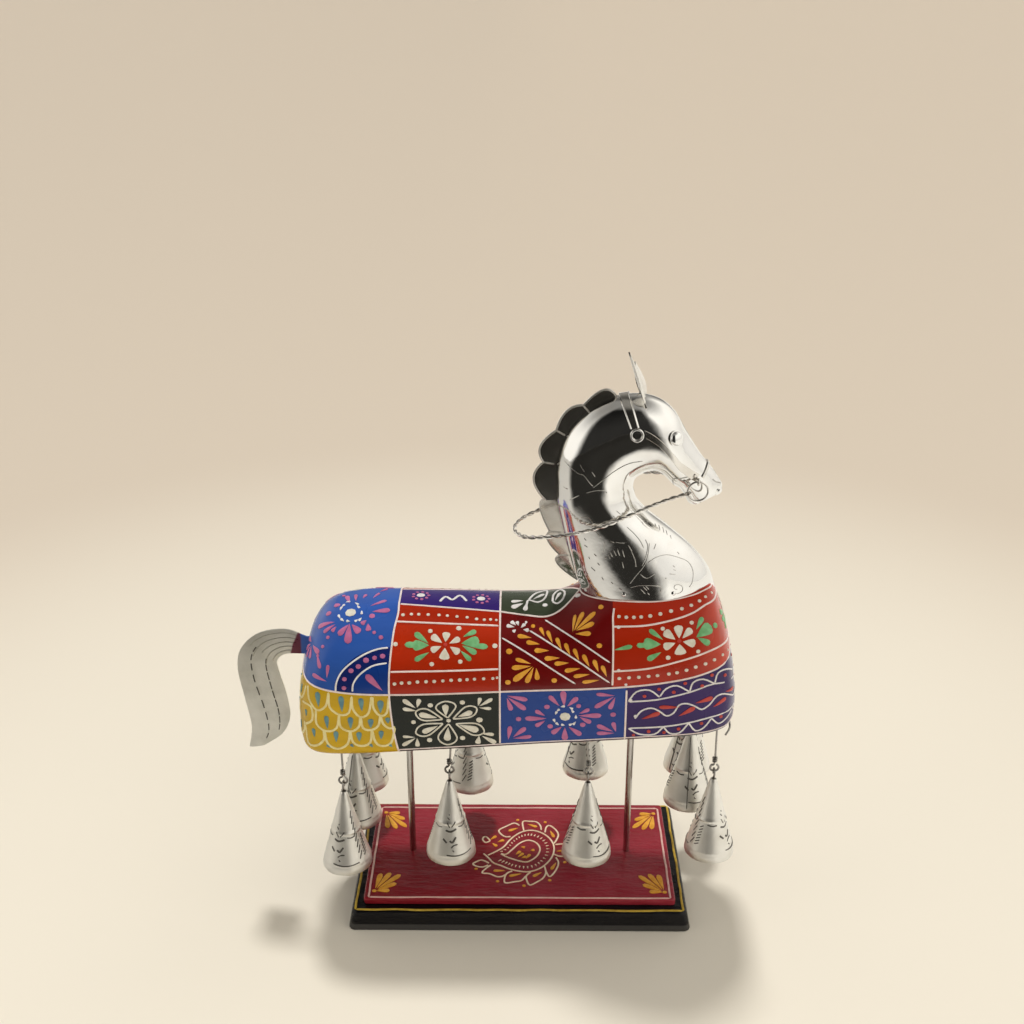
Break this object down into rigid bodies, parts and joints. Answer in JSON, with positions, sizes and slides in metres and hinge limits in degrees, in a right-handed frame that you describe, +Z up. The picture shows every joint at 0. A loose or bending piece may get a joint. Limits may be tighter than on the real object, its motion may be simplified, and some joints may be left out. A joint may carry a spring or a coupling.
{
  "type": "horse figurine",
  "caption": "Painted horse figurine on a stand, with a plated metal head and neck, a wire rein, a sheet tail and cone bells that swing under its belly.",
  "frame": {"origin": "middle of the stand's underside, on the surface it stands on", "axes": "+Z up, +X to the front where the head looks, +Y to the horse's left"},
  "size_m": [0.2882, 0.109, 0.3366],
  "materials": {
    "black_lacquer": "glossy black lacquer over brushed wood, one painted yellow line",
    "red_lacquer": "glossy dark red lacquer with raised painted ornament",
    "painted_wood": "hand-painted panels with raised paint lines, varnished",
    "nickel_sheet": "bright nickel plate on pressed sheet, with chased strokes",
    "steel_wire": "plated steel wire and rod"
  },
  "bodies": {
    "root": {"base_plinth": "black_lacquer", "base_plaque": "red_lacquer", "torso": "painted_wood", "rod_rear": "steel_wire", "rod_front": "steel_wire", "tail": "nickel_sheet", "neck_shell_left": "nickel_sheet", "ear_left": "nickel_sheet", "eye_left": "nickel_sheet", "neck_shell_right": "nickel_sheet", "ear_right": "nickel_sheet", "eye_right": "nickel_sheet", "mane": "nickel_sheet", "neck_nail_left_rear": "steel_wire", "neck_nail_left_front": "steel_wire", "neck_nail_right_rear": "steel_wire", "neck_nail_right_front": "steel_wire", "crown_band": "nickel_sheet", "noseband": "nickel_sheet", "cheek_strap_left": "nickel_sheet", "cheek_ring_left": "nickel_sheet", "cheek_strap_right": "nickel_sheet", "cheek_ring_right": "nickel_sheet", "hook_right_rear": "steel_wire", "hook_right_mid_rear": "steel_wire", "hook_right_mid_front": "steel_wire", "hook_right_front": "steel_wire", "hook_left_rear": "steel_wire", "hook_left_mid_rear": "steel_wire", "hook_left_mid_front": "steel_wire", "hook_left_front": "steel_wire", "hook_rear": "steel_wire", "hook_front": "steel_wire"},
    "bell_right_rear": {"bell_right_rear": "nickel_sheet", "link_right_rear": "steel_wire"},
    "bell_right_mid_rear": {"bell_right_mid_rear": "nickel_sheet", "link_right_mid_rear": "steel_wire"},
    "bell_right_mid_front": {"bell_right_mid_front": "nickel_sheet", "link_right_mid_front": "steel_wire"},
    "bell_right_front": {"bell_right_front": "nickel_sheet", "link_right_front": "steel_wire"},
    "bell_left_rear": {"bell_left_rear": "nickel_sheet", "link_left_rear": "steel_wire"},
    "bell_left_mid_rear": {"bell_left_mid_rear": "nickel_sheet", "link_left_mid_rear": "steel_wire"},
    "bell_left_mid_front": {"bell_left_mid_front": "nickel_sheet", "link_left_mid_front": "steel_wire"},
    "bell_left_front": {"bell_left_front": "nickel_sheet", "link_left_front": "steel_wire"},
    "bell_rear": {"bell_rear": "nickel_sheet", "link_rear": "steel_wire"},
    "bell_front": {"bell_front": "nickel_sheet", "link_front": "steel_wire"},
    "bit_ring_left": {"bit_ring_left": "steel_wire"},
    "bit_ring_right": {"bit_ring_right": "steel_wire"},
    "rein": {"rein": "steel_wire"}
  },
  "joints": [
    {"name": "swing_right_rear", "type": "hinge", "parent": "root", "child": "bell_right_rear", "pos_m": [-0.101, -0.03279, 0.09022], "axis": [0, 1, 0], "range_deg": [-25, 25]},
    {"name": "swing_right_mid_rear", "type": "hinge", "parent": "root", "child": "bell_right_mid_rear", "pos_m": [-0.04, -0.0335, 0.09824], "axis": [0, 1, 0], "range_deg": [-25, 25]},
    {"name": "swing_right_mid_front", "type": "hinge", "parent": "root", "child": "bell_right_mid_front", "pos_m": [0.039, -0.0335, 0.09746], "axis": [0, 1, 0], "range_deg": [-25, 25]},
    {"name": "swing_right_front", "type": "hinge", "parent": "root", "child": "bell_right_front", "pos_m": [0.111, -0.03027, 0.09821], "axis": [0, 1, 0], "range_deg": [-25, 25]},
    {"name": "swing_left_rear", "type": "hinge", "parent": "root", "child": "bell_left_rear", "pos_m": [-0.097, 0.033, 0.10048], "axis": [0, 1, 0], "range_deg": [-25, 25]},
    {"name": "swing_left_mid_rear", "type": "hinge", "parent": "root", "child": "bell_left_mid_rear", "pos_m": [-0.031, 0.03346, 0.09984], "axis": [0, 1, 0], "range_deg": [-25, 25]},
    {"name": "swing_left_mid_front", "type": "hinge", "parent": "root", "child": "bell_left_mid_front", "pos_m": [0.041, 0.0335, 0.11059], "axis": [0, 1, 0], "range_deg": [-25, 25]},
    {"name": "swing_left_front", "type": "hinge", "parent": "root", "child": "bell_left_front", "pos_m": [0.104, 0.032, 0.11375], "axis": [0, 1, 0], "range_deg": [-25, 25]},
    {"name": "swing_rear", "type": "hinge", "parent": "root", "child": "bell_rear", "pos_m": [-0.098, 0, 0.09741], "axis": [0, 1, 0], "range_deg": [-14, 25]},
    {"name": "swing_front", "type": "hinge", "parent": "root", "child": "bell_front", "pos_m": [0.101, 0, 0.11155], "axis": [0, 1, 0], "range_deg": [-25, 16]},
    {"name": "turn_bit_ring_left", "type": "hinge", "parent": "root", "child": "bit_ring_left", "pos_m": [0.09478, 0.01234, 0.2614], "axis": [0, 1, 0], "continuous": true},
    {"name": "turn_bit_ring_right", "type": "hinge", "parent": "root", "child": "bit_ring_right", "pos_m": [0.09478, -0.01234, 0.2614], "axis": [0, 1, 0], "continuous": true},
    {"name": "lift_rein", "type": "hinge", "parent": "root", "child": "rein", "pos_m": [0.09478, 0, 0.2614], "axis": [0, 1, 0], "range_deg": [0, 48]}
  ]
}
